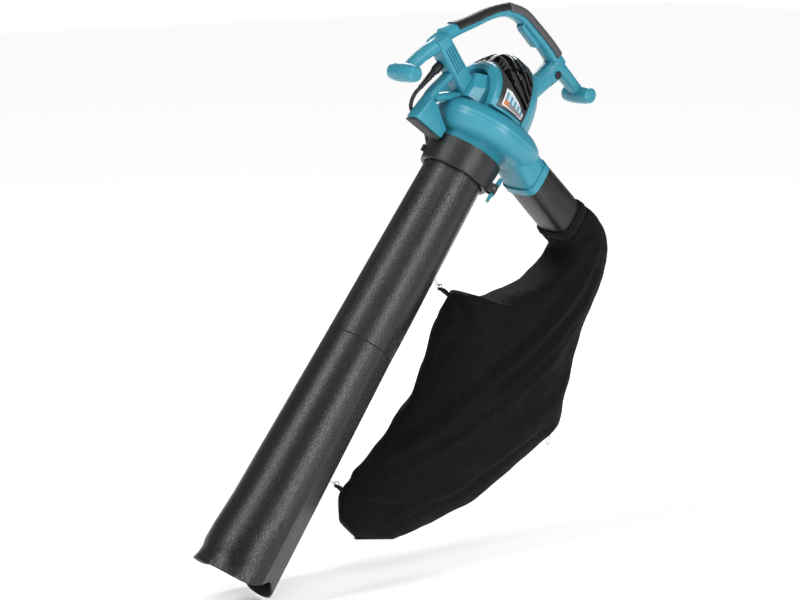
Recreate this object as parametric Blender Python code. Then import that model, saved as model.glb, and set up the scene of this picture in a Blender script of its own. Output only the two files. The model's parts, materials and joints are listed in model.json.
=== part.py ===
"""Garden leaf blower with suction tube and collection bag, built piece by piece.

Machine frame (all design dimensions in mm): z runs up the suction tube and is the
motor axis, x points to the rear, y is sideways.  The machine frame is tilted about y
and moved so that the world origin is the centre of the main hand grip.
"""
import math

import bmesh
import bpy
from mathutils import Matrix, Vector

for stale in list(bpy.data.objects):
    bpy.data.objects.remove(stale, do_unlink=True)

MM = 0.001
TILT = math.radians(36.0)
GRIP_CENTRE = Vector((-97.0, 0.0, 262.0))
GAP = 0.3

# suction tube
TUBE_TOP = 34.0
TUBE_SEAM = -334.0
TUBE_END = -776.0
TUBE_TOP_RADIUS = 53.0
TUBE_SEAM_RADIUS = 60.0
TUBE_END_RADIUS = 70.0
TUBE_WALL = 3.0
FACET_DEPTH = 6.5
FACET_DIRECTION = math.radians(59.0)
NOTCH_HEIGHT = 24.0
TUBE_SEGMENTS = 36

# collar and latch
COLLAR_LOW = -3.0
COLLAR_TOP = 43.7
COLLAR_BORE = 55.4
LATCH_DIRECTION = math.radians(-36.0)
LATCH_RADIUS = 72.0
LATCH_Z = 10.0

# fan housing
NECK_LOW = 44.0
NECK_RADIUS = 61.0
INTAKE_RADIUS = 49.0
VOLUTE_LOW = 57.0
VOLUTE_MID = 85.0
VOLUTE_TOP = 113.0
VOLUTE_ROUND = 27.0
VOLUTE_WALL = 3.0
VOLUTE_SMALL_RADIUS = 62.0
VOLUTE_LARGE_RADIUS = 117.0

# motor housing and handles
HOUSING_BASE = VOLUTE_TOP + 0.4
DOME_POWER = 1.95
HANDLE_WIDTH = 34.0
BAR_HALF_LENGTH = 34.0
COVER_THICKNESS = 3.0

# outlet
DUCT_Y = -43.0
DUCT_HALF_WIDTH = 39.0
SOCKET_END = 112.0


TO_WORLD = Matrix.Rotation(TILT, 4, "Y") @ Matrix.Translation(-GRIP_CENTRE)


def world(point):
    """Machine-frame millimetres to world metres."""
    return (TO_WORLD @ Vector(point)) * MM


def material(name, colour, roughness, metallic=0.0):
    mat = bpy.data.materials.new(name)
    mat.use_nodes = True
    shader = mat.node_tree.nodes["Principled BSDF"]
    shader.inputs["Base Color"].default_value = (*colour, 1.0)
    shader.inputs["Roughness"].default_value = roughness
    shader.inputs["Metallic"].default_value = metallic
    mat.diffuse_color = (*colour, 1.0)
    return mat


TEAL = ("teal", (0.055, 0.36, 0.45), 0.38, 0.0)
GREY = ("tube_grey", (0.055, 0.055, 0.06), 0.5, 0.0)
BLACK = ("black", (0.015, 0.015, 0.016), 0.5, 0.0)
GRIP = ("grip", (0.03, 0.03, 0.032), 0.6, 0.0)
STEEL = ("steel", (0.6, 0.6, 0.6), 0.3, 1.0)
COPPER = ("copper", (0.6, 0.28, 0.14), 0.35, 1.0)
FABRIC = ("fabric", (0.01, 0.01, 0.011), 0.9, 0.0)
LABEL = ("label", (0.75, 0.77, 0.78), 0.4, 0.0)


def finish(name, bm, look, smooth=True, centre=None):
    """Turn a machine-frame bmesh into a named object with its own material."""
    bmesh.ops.recalc_face_normals(bm, faces=bm.faces)
    pivot = world(centre) if centre is not None else Vector((0.0, 0.0, 0.0))
    for vert in bm.verts:
        vert.co = world(vert.co) - pivot
    mesh = bpy.data.meshes.new(name)
    bm.to_mesh(mesh)
    bm.free()
    if mesh_volume(mesh) < 0.0:
        mesh.flip_normals()
    obj = bpy.data.objects.new(name, mesh)
    obj.location = pivot
    bpy.context.scene.collection.objects.link(obj)
    label, colour, roughness, metallic = look
    mesh.materials.append(material(name + "_" + label, colour, roughness, metallic))
    if smooth:
        mesh.shade_smooth()
        mesh.set_sharp_from_angle(angle=math.radians(38.0))
    return obj


def mesh_volume(mesh):
    bm = bmesh.new()
    bm.from_mesh(mesh)
    volume = bm.calc_volume(signed=True)
    bm.free()
    return volume


def loft(rings, cap=True, wrap=False):
    """Skin a list of equal rings; wrap joins the last ring to the first."""
    bm = bmesh.new()
    grid = [[bm.verts.new(Vector(point)) for point in ring] for ring in rings]
    count = len(grid[0])
    pairs = list(zip(grid, grid[1:]))
    if wrap:
        pairs.append((grid[-1], grid[0]))
    for low, high in pairs:
        for i in range(count):
            j = (i + 1) % count
            bm.faces.new((low[i], low[j], high[j], high[i]))
    if cap and not wrap:
        bm.faces.new(grid[0])
        bm.faces.new(grid[-1])
    bmesh.ops.recalc_face_normals(bm, faces=bm.faces)
    if bm.calc_volume(signed=True) < 0.0:
        bmesh.ops.reverse_faces(bm, faces=bm.faces)
    return bm


def lathe(profile, segments=32, base=(0.0, 0.0, 0.0), axis="z"):
    """Solid of revolution from (radius, height) pairs; radius 0 closes on the axis."""
    bm = bmesh.new()
    origin = Vector(base)
    rows = []
    for radius, height in profile:
        if radius < 1e-6:
            rows.append([bm.verts.new(place(0.0, 0.0, height, axis) + origin)])
            continue
        row = []
        for i in range(segments):
            angle = 2.0 * math.pi * i / segments
            point = place(radius * math.cos(angle), radius * math.sin(angle), height, axis)
            row.append(bm.verts.new(point + origin))
        rows.append(row)
    closed = profile[0][0] > 1e-6
    pairs = list(zip(rows, rows[1:]))
    if closed:
        pairs.append((rows[-1], rows[0]))
    for low, high in pairs:
        for i in range(segments):
            j = (i + 1) % segments
            corners = [low[i % len(low)], low[j % len(low)], high[j % len(high)], high[i % len(high)]]
            unique = list(dict.fromkeys(corners))
            if len(unique) > 2:
                bm.faces.new(unique)
    bmesh.ops.recalc_face_normals(bm, faces=bm.faces)
    if bm.calc_volume(signed=True) < 0.0:
        bmesh.ops.reverse_faces(bm, faces=bm.faces)
    return bm


def place(a, b, height, axis):
    if axis == "z":
        return Vector((a, b, height))
    if axis == "y":
        return Vector((b, height, a))
    return Vector((height, a, b))


def block(low, high):
    bm = bmesh.new()
    bmesh.ops.create_cube(bm, size=1.0)
    for vert in bm.verts:
        for i in range(3):
            middle = (low[i] + high[i]) / 2.0
            vert.co[i] = middle + vert.co[i] * (high[i] - low[i])
    return bm


def rounded(bm, radius, segments=2):
    bmesh.ops.bevel(bm, geom=bm.edges[:], offset=radius, segments=segments, affect="EDGES",
                    profile=0.5, clamp_overlap=True)
    return bm


def turned(bm, matrix):
    bmesh.ops.transform(bm, matrix=matrix, verts=bm.verts)
    return bm


def prism(outline, low, high):
    """Closed outline in (x, z) pushed from y=low to y=high."""
    return loft([[(x, y, z) for x, z in outline] for y in (low, high)])


def combine(bm, other, operation):
    """Boolean of two machine-frame bmeshes; both are consumed."""
    first = bpy.data.objects.new("first", bpy.data.meshes.new("first"))
    second = bpy.data.objects.new("second", bpy.data.meshes.new("second"))
    for source, obj in ((bm, first), (other, second)):
        source.to_mesh(obj.data)
        source.free()
        bpy.context.scene.collection.objects.link(obj)
    modifier = first.modifiers.new("cut", "BOOLEAN")
    modifier.operation = operation
    modifier.object = second
    modifier.solver = "EXACT"
    bpy.context.view_layer.update()
    graph = bpy.context.evaluated_depsgraph_get()
    result = bmesh.new()
    result.from_mesh(first.evaluated_get(graph).to_mesh())
    for obj in (first, second):
        mesh = obj.data
        bpy.data.objects.remove(obj, do_unlink=True)
        bpy.data.meshes.remove(mesh)
    bmesh.ops.remove_doubles(result, verts=result.verts, dist=0.002)
    return result


def union(bm, *others):
    for other in others:
        bm = combine(bm, other, "UNION")
    return bm


def cut(bm, *others):
    for other in others:
        bm = combine(bm, other, "DIFFERENCE")
    return bm


def keep(bm, other):
    return combine(bm, other, "INTERSECT")


def one_side(bm, y, near):
    """The part of a body on one side of the plane at y, with the cut filled flat."""
    geometry = bm.verts[:] + bm.edges[:] + bm.faces[:]
    bmesh.ops.bisect_plane(bm, geom=geometry, dist=0.001, plane_co=(0.0, y, 0.0), plane_no=(0.0, 1.0, 0.0),
                           clear_outer=near, clear_inner=not near)
    rim = [edge for edge in bm.edges if len(edge.link_faces) == 1]
    bmesh.ops.triangle_fill(bm, edges=rim, use_beauty=True)
    bmesh.ops.recalc_face_normals(bm, faces=bm.faces)
    return bm


def oval(half_wide, half_high, count=16, power=2.6):
    """Rounded-box section points (sideways, in-plane)."""
    points = []
    for i in range(count):
        angle = 2.0 * math.pi * (i + 0.5) / count
        c = math.cos(angle)
        s = math.sin(angle)
        points.append((half_wide * math.copysign(abs(c) ** (2.0 / power), c),
                       half_high * math.copysign(abs(s) ** (2.0 / power), s)))
    return points


def smooth_path(points, steps):
    """Catmull-Rom curve through 2-D or 3-D points."""
    pts = [Vector(p) for p in points]
    pts = [pts[0] * 2.0 - pts[1]] + pts + [pts[-1] * 2.0 - pts[-2]]
    path = []
    for i in range(1, len(pts) - 2):
        a, b, c, d = pts[i - 1:i + 3]
        for k in range(steps):
            t = k / steps
            path.append(0.5 * (2.0 * b + (c - a) * t + (2.0 * a - 5.0 * b + 4.0 * c - d) * t * t
                               + (3.0 * b - a - 3.0 * c + d) * t ** 3))
    path.append(pts[-2])
    return path


def bar(route, sections, steps=3, shape=None):
    """Sweep a section along a route in the machine's middle plane (x, z)."""
    path = smooth_path([(x, z) for x, z in route], steps)
    total = len(path) - 1
    rings = []
    for i, point in enumerate(path):
        ahead = path[min(i + 1, total)]
        behind = path[max(i - 1, 0)]
        tangent = (ahead - behind).normalized()
        normal = Vector((-tangent.y, tangent.x))
        along = i / total * (len(sections) - 1)
        k = min(int(along), len(sections) - 2) if len(sections) > 1 else 0
        t = along - k
        first = sections[k]
        second = sections[min(k + 1, len(sections) - 1)]
        wide = first[0] + (second[0] - first[0]) * t
        high = first[1] + (second[1] - first[1]) * t
        outline = shape(wide, high) if shape else oval(wide / 2.0, high / 2.0, 14)
        rings.append([(point.x + normal.x * v, u, point.y + normal.y * v) for u, v in outline])
    return loft(rings)


def wire(points, radius, sides=8, closed=False):
    """Round wire through 3-D points."""
    pts = [Vector(p) for p in points]
    count = len(pts)
    rings = []
    normal = None
    for i, point in enumerate(pts):
        if closed:
            tangent = (pts[(i + 1) % count] - pts[i - 1]).normalized()
        else:
            tangent = (pts[min(i + 1, count - 1)] - pts[max(i - 1, 0)]).normalized()
        if normal is None:
            helper = Vector((0.0, 1.0, 0.0)) if abs(tangent.y) < 0.8 else Vector((1.0, 0.0, 0.0))
            normal = tangent.cross(helper).normalized()
        normal = (normal - tangent * normal.dot(tangent)).normalized()
        side = tangent.cross(normal)
        ring = []
        for k in range(sides):
            angle = 2.0 * math.pi * k / sides
            ring.append(point + (normal * math.cos(angle) + side * math.sin(angle)) * radius)
        rings.append(ring)
    return loft(rings, wrap=closed)


def stadium(start, end, half_width, side, steps=6):
    """Closed racetrack through start and end, bulging along side."""
    a = Vector(start)
    b = Vector(end)
    along = (b - a).normalized()
    side = Vector(side)
    points = []
    for centre, first in ((b - along * half_width, 0.0), (a + along * half_width, math.pi)):
        for k in range(steps + 1):
            angle = first - math.pi / 2.0 + math.pi * k / steps
            points.append(centre + (along * math.cos(angle) + side * math.sin(angle)) * half_width)
    return points


# ---------------------------------------------------------------- suction tube
def tube_radius(angle, z, seam_blend=True):
    """Outer radius at an angle measured from the front (-x) direction."""
    if z > TUBE_SEAM:
        share = (TUBE_TOP - z) / (TUBE_TOP - TUBE_SEAM)
        radius = TUBE_TOP_RADIUS + (TUBE_SEAM_RADIUS - TUBE_TOP_RADIUS) * share
    else:
        share = (TUBE_SEAM - z) / (TUBE_SEAM - TUBE_END)
        radius = TUBE_SEAM_RADIUS + (TUBE_END_RADIUS - TUBE_SEAM_RADIUS) * share
    grown = min(max((-170.0 - z) / 170.0, 0.0), 1.0)
    depth = FACET_DEPTH * grown * grown * (3.0 - 2.0 * grown)
    rear = math.pi - abs(angle)
    turn = rear - FACET_DIRECTION
    if depth > 0.0 and abs(turn) < 1.2:
        radius = min(radius, (radius - depth) / math.cos(turn))
    if z < -650.0 and abs(angle) < 1.45:
        side = math.cos(angle / 1.45 * math.pi / 2.0)
        step = min(max((z + 752.0) / 14.0, 0.0), 1.0)
        rise = min((-650.0 - z) / 60.0, 1.0)
        radius += 3.2 * side * rise * step * step * (3.0 - 2.0 * step)
        lip = min(max((-752.0 - z) / 24.0, 0.0), 1.0)
        radius += 5.0 * side * lip * lip
    return radius


def tube_ring(z, inset=0.0, shift=None):
    ring = []
    for i in range(TUBE_SEGMENTS):
        angle = 2.0 * math.pi * (i + 0.5) / TUBE_SEGMENTS - math.pi
        height = z + (shift(angle) if shift else 0.0)
        radius = tube_radius(angle, height) - inset
        ring.append((-radius * math.cos(angle), -radius * math.sin(angle), height))
    return ring


def notch(angle):
    spread = (abs(angle) - math.radians(118.0)) / math.radians(26.0)
    return NOTCH_HEIGHT * math.exp(-spread * spread)


def tube_shell(levels, shifts):
    outer = [tube_ring(z, 0.0, shift) for z, shift in zip(levels, shifts)]
    inner = [tube_ring(z, TUBE_WALL, shift) for z, shift in zip(levels, shifts)]
    return loft(outer + inner[::-1], wrap=True)


def fade(share):
    return lambda angle: notch(angle) * share


def lug(z_low, z_high, angle, inner, outer, half_width):
    """Small block standing on a round wall at an angle from +x."""
    body = block((inner, -half_width, z_low), (outer, half_width, z_high))
    return turned(body, Matrix.Rotation(angle, 4, "Z"))


def eyelet(z):
    radius = tube_radius(math.pi, z)
    points = []
    for k in range(12):
        angle = 2.0 * math.pi * k / 12
        points.append((radius + 4.4 + 6.0 * math.cos(angle), 0.0, z + 6.0 * math.sin(angle)))
    return wire(points, 1.5, 6, closed=True)


EYELET_1 = -164.0
EYELET_2 = -556.0

upper = tube_shell([TUBE_TOP, -170.0, -215.0, -260.0, -300.0, TUBE_SEAM + 0.2], [None] * 6)
upper = union(upper, lug(-15.0, -5.0, math.pi, 52.0, 57.5, 6.0), lug(-15.0, -5.0, 0.0, 52.0, 57.5, 6.0),
              eyelet(EYELET_1))
finish("suction_tube_upper", upper, GREY)

lower_levels = [TUBE_SEAM - 0.2, -650.0, -680.0, -710.0, -737.0, -745.0, -753.0, -764.0, TUBE_END]
lower_shift = [None, None, None, fade(0.1), fade(0.4), fade(0.6), fade(0.75), fade(0.9), fade(1.0)]
nozzle = union(tube_shell(lower_levels, lower_shift), eyelet(EYELET_2))
finish("suction_tube_nozzle", nozzle, GREY)

# ---------------------------------------------------------------- collar, latch, guard
collar = lathe([(COLLAR_BORE, COLLAR_LOW), (61.0, COLLAR_LOW), (62.5, COLLAR_LOW + 2.0), (66.0, 30.0),
                (66.5, COLLAR_TOP), (COLLAR_BORE, COLLAR_TOP)], 40)
for side in (-1.0, 1.0):
    cheek = block((60.0, side * 9.0 - 1.5, 2.0), (78.0, side * 9.0 + 1.5, 18.0))
    collar = union(collar, turned(cheek, Matrix.Rotation(LATCH_DIRECTION, 4, "Z")))
pin_hole = lathe([(0.0, -12.0), (1.8, -12.0), (1.8, 12.0), (0.0, 12.0)], 12, (LATCH_RADIUS, 0.0, LATCH_Z), "y")
collar = cut(collar, turned(pin_hole, Matrix.Rotation(LATCH_DIRECTION, 4, "Z")))
collar = union(collar, lug(8.0, 20.0, math.radians(150.0), 62.0, 70.0, 2.0))
finish("intake_collar", collar, GREY)

latch_centre = (LATCH_RADIUS * math.cos(LATCH_DIRECTION), LATCH_RADIUS * math.sin(LATCH_DIRECTION), LATCH_Z)
lever_outline = [(69.3, -13.0), (74.5, -14.0), (76.5, 2.0), (79.0, 22.0), (79.0, 33.0), (72.0, 33.0), (69.3, 16.0)]
lever = rounded(prism(lever_outline, -6.5, 6.5), 0.8, 1)
lever = cut(lever, lathe([(0.0, -9.0), (1.8, -9.0), (1.8, 9.0), (0.0, 9.0)], 12, (LATCH_RADIUS, 0.0, LATCH_Z), "y"))
lever = turned(lever, Matrix.Rotation(LATCH_DIRECTION, 4, "Z"))
finish("latch_lever", lever, TEAL, centre=latch_centre)
pin = lathe([(0.0, -11.5), (1.5, -11.5), (1.5, 11.5), (0.0, 11.5)], 12, (LATCH_RADIUS, 0.0, LATCH_Z), "y")
finish("latch_pin", turned(pin, Matrix.Rotation(LATCH_DIRECTION, 4, "Z")), STEEL)

guard = lathe([(47.0, 36.0), (55.0, 36.0), (55.0, 41.0), (47.0, 41.0)], 40)
for k in range(3):
    rib = block((-49.0, -1.3, 36.8), (49.0, 1.3, 40.2))
    guard = union(guard, turned(rib, Matrix.Rotation(math.pi * k / 3.0, 4, "Z")))
finish("intake_guard", guard, BLACK)


# ---------------------------------------------------------------- fan housing
def scroll_radius(angle):
    """Spiral outline, smallest at the front, largest where the outlet leaves."""
    turn = (angle - math.radians(50.0)) % (2.0 * math.pi)
    share = min(turn / math.radians(270.0), 1.0)
    radius = VOLUTE_SMALL_RADIUS + (VOLUTE_LARGE_RADIUS - VOLUTE_SMALL_RADIUS) * share
    drop = max(0.0, (turn - math.radians(278.0)) / math.radians(82.0))
    ease = drop * drop * (3.0 - 2.0 * drop)
    return radius + (VOLUTE_SMALL_RADIUS - radius) * ease


def scroll(inset):
    """Solid spiral drum with a rounded rim."""
    half = (VOLUTE_TOP - VOLUTE_LOW) / 2.0 - inset
    rings = []
    for k in range(8):
        angle = -math.pi / 2.0 + math.pi * k / 7.0
        z = VOLUTE_MID + half * math.sin(angle)
        back = VOLUTE_ROUND * (1.0 - math.cos(angle)) + inset
        ring = []
        for i in range(48):
            around = 2.0 * math.pi * i / 48
            radius = scroll_radius(around) - back
            ring.append((radius * math.cos(around), radius * math.sin(around), z))
        rings.append(ring)
    return loft(rings)


def duct(route, grow, count=20):
    """Rounded-box duct along x; route rows are x, centre z, half height."""
    rings = []
    for x, z, half in route:
        outline = oval(DUCT_HALF_WIDTH + grow, half + grow, count, 4.0)
        rings.append([(x, DUCT_Y + u, z + v) for u, v in outline])
    return loft(rings)


SOCKET = [(18.0, 85.0, 24.0), (62.0, 80.0, 25.5), (92.0, 70.0, 28.0), (SOCKET_END, 65.6, 28.5)]
SOCKET_BORE = SOCKET[:-1] + [(SOCKET_END + 1.0, 65.4, 28.5)]
SOCKET_BEAD = [(SOCKET_END - 13.0, 68.0, 29.0), (SOCKET_END + 0.2, 65.6, 29.0)]
neck = lathe([(0.0, NECK_LOW), (NECK_RADIUS + 2.0, NECK_LOW), (NECK_RADIUS, NECK_LOW + 4.0),
              (NECK_RADIUS, VOLUTE_LOW + 5.0), (0.0, VOLUTE_LOW + 5.0)], 40)
volute = union(scroll(0.0), neck, duct(SOCKET, 2.0), duct(SOCKET_BEAD, 4.0))
volute = cut(volute, scroll(VOLUTE_WALL), duct(SOCKET_BORE, -1.5),
             lathe([(0.0, NECK_LOW - 4.0), (INTAKE_RADIUS, NECK_LOW - 4.0),
                    (INTAKE_RADIUS, VOLUTE_LOW + 8.0), (0.0, VOLUTE_LOW + 8.0)], 40),
             lathe([(0.0, 100.0), (38.5, 100.0), (38.5, 120.0), (0.0, 120.0)], 40))
volute_copy = volute.copy()
lower_half = keep(volute, block((-200.0, -200.0, 20.0), (200.0, 200.0, VOLUTE_MID - 0.15)))
upper_half = keep(volute_copy, block((-200.0, -200.0, VOLUTE_MID + 0.15), (200.0, 200.0, 120.0)))
finish("fan_housing_lower", lower_half, TEAL)
finish("fan_housing_upper", upper_half, TEAL)

# ---------------------------------------------------------------- motor housing
DOME = [(-58.0, 73.0, 186.0), (-55.5, 77.0, 192.0), (-50.0, 79.0, 196.0), (-49.8, 75.4, 192.4),
        (-42.0, 79.0, 210.0), (-33.0, 82.0, 221.0), (-15.0, 85.0, 228.5), (9.8, 84.5, 228.5), (10.0, 88.0, 232.0),
        (24.0, 84.0, 229.0), (40.0, 74.0, 217.0), (54.0, 58.0, 198.0), (64.0, 36.0, 172.0)]


def arch(x, half_width, top, base=HOUSING_BASE, count=18, power=DOME_POWER):
    """Arch outline across the machine, standing on the fan housing."""
    ring = []
    for k in range(count + 1):
        angle = math.pi * k / count
        c = math.cos(angle)
        s = math.sin(angle)
        y = half_width * math.copysign(abs(c) ** (2.0 / power), c)
        z = base + (top - base) * abs(s) ** (2.0 / power)
        ring.append((x, y, z))
    return ring


def dome_at(x):
    for (x0, w0, h0), (x1, w1, h1) in zip(DOME, DOME[1:]):
        if x0 <= x <= x1:
            t = (x - x0) / (x1 - x0)
            return w0 + (w1 - w0) * t, h0 + (h1 - h0) * t
    return DOME[-1][1], DOME[-1][2]


dome = loft([arch(x, w, h) for x, w, h in DOME])
front_recess = loft([arch(-62.0, 63.0, 178.0, 100.0), arch(-45.0, 60.0, 174.0, 100.0)])


def boss_ring(x, half_width, top):
    """Faceted front block of the motor housing, symmetric about the middle plane."""
    side = [(half_width, HOUSING_BASE), (half_width + 2.0, top - 26.0), (half_width - 12.0, top)]
    return [(x, y, z) for y, z in side] + [(x, -y, z) for y, z in side[::-1]]


boss = loft([boss_ring(-76.0, 32.0, 158.0), boss_ring(-42.5, 43.0, 172.0)])
CAVITY_X = (-38.5, -15.0, 8.0, 24.0, 40.0, 50.0)
cavity = loft([arch(x, dome_at(x)[0] - 7.0, dome_at(x)[1] - 7.0, 100.0) for x in CAVITY_X])
body = cut(dome, front_recess)
body = union(body, boss)
body = cut(body, cavity)


# ---------------------------------------------------------------- handle frame
HANDLE_ROUTE = [(-158.0, 178.0), (-141.0, 203.0), (-121.0, 229.0), (-97.0, 262.0), (-70.0, 287.0),
                (-38.0, 297.0), (0.0, 293.0), (40.0, 287.0), (84.0, 276.0)]
FRONT_POST = [(-166.0, 168.0), (-112.0, 147.0), (-60.0, 128.0)]
FRONT_ARM = [(-158.0, 160.0), (-176.0, 125.0), (-190.0, 84.0)]
REAR_POST = [(84.0, 274.0), (68.0, 232.0), (44.0, 185.0)]
REAR_ARM = [(66.0, 276.0), (110.0, 270.0), (156.0, 263.0)]
LEG = [(-102.0, 146.0), (-114.0, 115.0), (-122.0, 84.0), (-120.0, 60.0)]
BRACE = [(-116.0, 80.0), (-92.0, 99.0), (-52.0, 124.0)]


GLAND_CENTRE = Vector((-130.0, 8.0, 132.0))
GLAND_AXIS = Vector((-7.0, 6.0, -44.0)).normalized()
GLAND_MATRIX = (Matrix.Translation(GLAND_CENTRE)
                @ Vector((0.0, 0.0, 1.0)).rotation_difference(GLAND_AXIS).to_matrix().to_4x4())


def flat_section(wide, high):
    """Near-rectangular section for the broad front post."""
    return oval(wide / 2.0, high / 2.0, 16, 6.0)


def hand_bar(x, z):
    profile = [(0.0, -BAR_HALF_LENGTH), (9.0, -BAR_HALF_LENGTH), (13.4, -31.0), (15.6, -18.0), (16.2, 0.0),
               (15.6, 18.0), (13.4, 31.0), (9.0, BAR_HALF_LENGTH), (0.0, BAR_HALF_LENGTH)]
    return lathe(profile, 18, (x, 0.0, z), "y")


frame = bar(HANDLE_ROUTE, [(32.0, 24.0), (32.0, 21.0), (31.0, 20.0), (32.0, 24.0), (33.0, 26.0), (34.0, 28.0)])
frame = union(frame, bar(FRONT_POST, [(38.0, 29.0), (37.0, 31.0), (36.0, 34.0)], 3, flat_section),
              bar(FRONT_ARM, [(30.0, 24.0), (28.0, 20.0), (24.0, 20.0)]),
              bar(REAR_POST, [(34.0, 40.0), (33.0, 36.0), (38.0, 44.0)]),
              bar(REAR_ARM, [(33.0, 26.0), (30.0, 22.0), (26.0, 20.0)]),
              hand_bar(-190.0, 83.0), hand_bar(157.0, 262.0))
foot_outline = [(-134.0, 32.0), (-69.0, 31.0), (-68.0, 50.0), (-88.0, 60.0), (-108.0, 73.0), (-126.0, 78.0)]
foot = rounded(prism(foot_outline, -15.0, 15.0), 2.5, 2)
frame = union(frame, bar(LEG, [(26.0, 20.0), (25.0, 13.0), (26.0, 15.0), (27.0, 18.0)]), foot,
              bar(BRACE, [(24.0, 15.0), (24.0, 15.0), (26.0, 18.0)]))
DIAL_RADIUS = 6.5
DIAL_AXIS = (84.0, 0.0, 256.0)
groove_cutters = []
post_along = Vector((54.0, 0.0, -21.0)).normalized()
post_across = Vector((21.0, 0.0, 54.0)).normalized()
post_middle = Vector((-126.0, 0.0, 152.8))
for k in range(4):
    shift = (k - 1.5) * 5.2
    centre = post_middle + post_across * shift
    a = centre - post_along * 24.0
    b = centre + post_along * 24.0
    for side in (-1.0, 1.0):
        ring = [(p.x + post_across.x * v, side * y, p.z + post_across.z * v)
                for p, v, y in ((a, -1.2, 16.4), (b, -1.2, 16.4), (b, 1.2, 16.4), (a, 1.2, 16.4))]
        outer_ring = [(x, side * 24.0, z) for x, _, z in ring]
        groove_cutters.append(loft([ring, outer_ring]))
trigger_pocket = prism([(-33.0, 268.0), (26.0, 262.0), (29.0, 291.0), (-30.0, 293.0)], -9.3, 9.3)
dial_pocket = lathe([(0.0, -24.0), (DIAL_RADIUS + 0.6, -24.0), (DIAL_RADIUS + 0.6, -10.0), (0.0, -10.0)], 24,
                    DIAL_AXIS, "y")
gland_pocket = turned(lathe([(0.0, -9.0), (8.4, -9.0), (8.4, 30.0), (0.0, 30.0)], 20), GLAND_MATRIX)


def cap_shape(start, end, low, high, count=12):
    """Strip wrapped round the outside of the handle bar."""
    def outline(wide, tall):
        points = []
        for grow, order in ((high, range(count + 1)), (low, range(count, -1, -1))):
            for k in order:
                angle = math.radians(start + (end - start) * k / count)
                c = math.cos(angle)
                s = math.sin(angle)
                u = (wide / 2.0 + grow) * math.copysign(abs(c) ** 0.769, c)
                v = (tall / 2.0 + grow) * math.copysign(abs(s) ** 0.769, s)
                points.append((u, v))
        return points
    return outline


GRIP_FRONT_ROUTE = [(-144.0, 198.5), (-138.0, 207.0), (-121.0, 229.0), (-97.0, 262.0), (-78.6, 280.8),
                    (-73.6, 284.6)]
GRIP_FRONT_SIZES = [(32.2, 22.0), (32.0, 21.0), (31.0, 20.0), (31.6, 22.0)]
GRIP_REAR_ROUTE = [(-71.2, 286.3), (-66.1, 289.1), (-38.0, 297.0), (0.0, 293.0), (40.0, 287.0), (66.0, 281.0)]
GRIP_REAR_SIZES = [(32.0, 23.2), (32.6, 25.0), (33.4, 26.6), (34.0, 27.6)]


def grip_piece(route, sizes, start, end, low, high):
    return bar(route, sizes, 3, cap_shape(start, end, low, high))


frame = cut(frame, trigger_pocket, dial_pocket, *groove_cutters)
frame = cut(frame, grip_piece(GRIP_FRONT_ROUTE, GRIP_FRONT_SIZES, -2.0, 182.0, -0.6, 6.0),
            grip_piece(GRIP_REAR_ROUTE, GRIP_REAR_SIZES, -9.0, 189.0, -0.6, 6.0))
frame = cut(frame, gland_pocket, scroll(-0.8))
body = union(body, frame)
body = cut(body, lathe([(0.0, 90.0), (38.0, 90.0), (38.0, 200.0), (0.0, 200.0)], 40))
body_copy = body.copy()
SCREWS = [(-178.0, 118.0), (-60.0, 292.0), (84.0, 250.0), (-96.0, 52.0)]
near_half = one_side(body, -GAP / 2.0, True)
far_half = one_side(body_copy, GAP / 2.0, False)
for x, z in SCREWS:
    far_half = cut(far_half, lathe([(0.0, 8.6), (3.6, 8.6), (3.6, 30.0), (0.0, 30.0)], 16, (x, 0.0, z), "y"))
finish("housing_near", near_half, TEAL)
finish("housing_far", far_half, TEAL)
for i, (x, z) in enumerate(SCREWS):
    head = lathe([(0.0, 9.0), (3.2, 9.0), (3.2, 11.0), (2.2, 12.0), (1.0, 12.0), (1.0, 10.6), (0.0, 10.6)],
                 12, (x, 0.0, z), "y")
    finish("housing_screw_%d" % (i + 1), head, STEEL)


# ---------------------------------------------------------------- vent cover and label
def band_ring(x, lift, start, end, count=26):
    """Open strip of points following the dome across the machine."""
    w, h = dome_at(x)
    points = []
    for k in range(count + 1):
        angle = start + (end - start) * k / count
        c = math.cos(angle)
        s = math.sin(angle)
        y = (w + lift) * math.copysign(abs(c) ** (2.0 / DOME_POWER), c)
        z = HOUSING_BASE + (h + lift - HOUSING_BASE) * abs(s) ** (2.0 / DOME_POWER)
        points.append(Vector((x, y, z)))
    return points


def saddle(xs, low, high, span, count=22):
    """Curved plate over the dome; span gives its two end angles at each x."""
    rings = []
    for x in xs:
        start, end = span(x)
        outer = band_ring(x, high, start, end, count)
        inner = band_ring(x, low, start, end, count)
        rings.append(outer + inner[::-1])
    return loft(rings)


COVER_LIFT = 0.35
COVER_FACE = COVER_LIFT + COVER_THICKNESS
SLOT_FLOOR = COVER_LIFT + 1.1
SLOT_TURN = 0.16
SLOT_WIDTH = 6.2
DOME_SWEEP = 85.0
# cooling slots: x and angle above the housing base, sweeping rearwards as they come down
SLOTS = [[(-45.0, 1.50), (-45.0, 0.92), (-40.0, 0.64), (-32.0, 0.48), (-12.0, 0.34), (5.5, 0.25)],
         [(-39.0, 1.50), (-37.0, 1.00), (-30.0, 0.74), (-18.0, 0.56), (-5.0, 0.44), (5.5, 0.37)],
         [(-30.0, 1.50), (-27.0, 1.08), (-20.0, 0.87), (-12.0, 0.71), (-3.0, 0.58), (5.5, 0.50)],
         [(-20.0, 1.50), (-17.0, 1.20), (-10.0, 0.97), (-3.0, 0.81), (5.5, 0.67)]]


def label_top(x):
    """Angle of the label's upper edge above the housing base, falling to the rear."""
    return 0.44 - 0.0060 * (x + 45.0)


def label_low(x):
    return 0.095 - 0.0006 * (x + 45.0)


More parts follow.
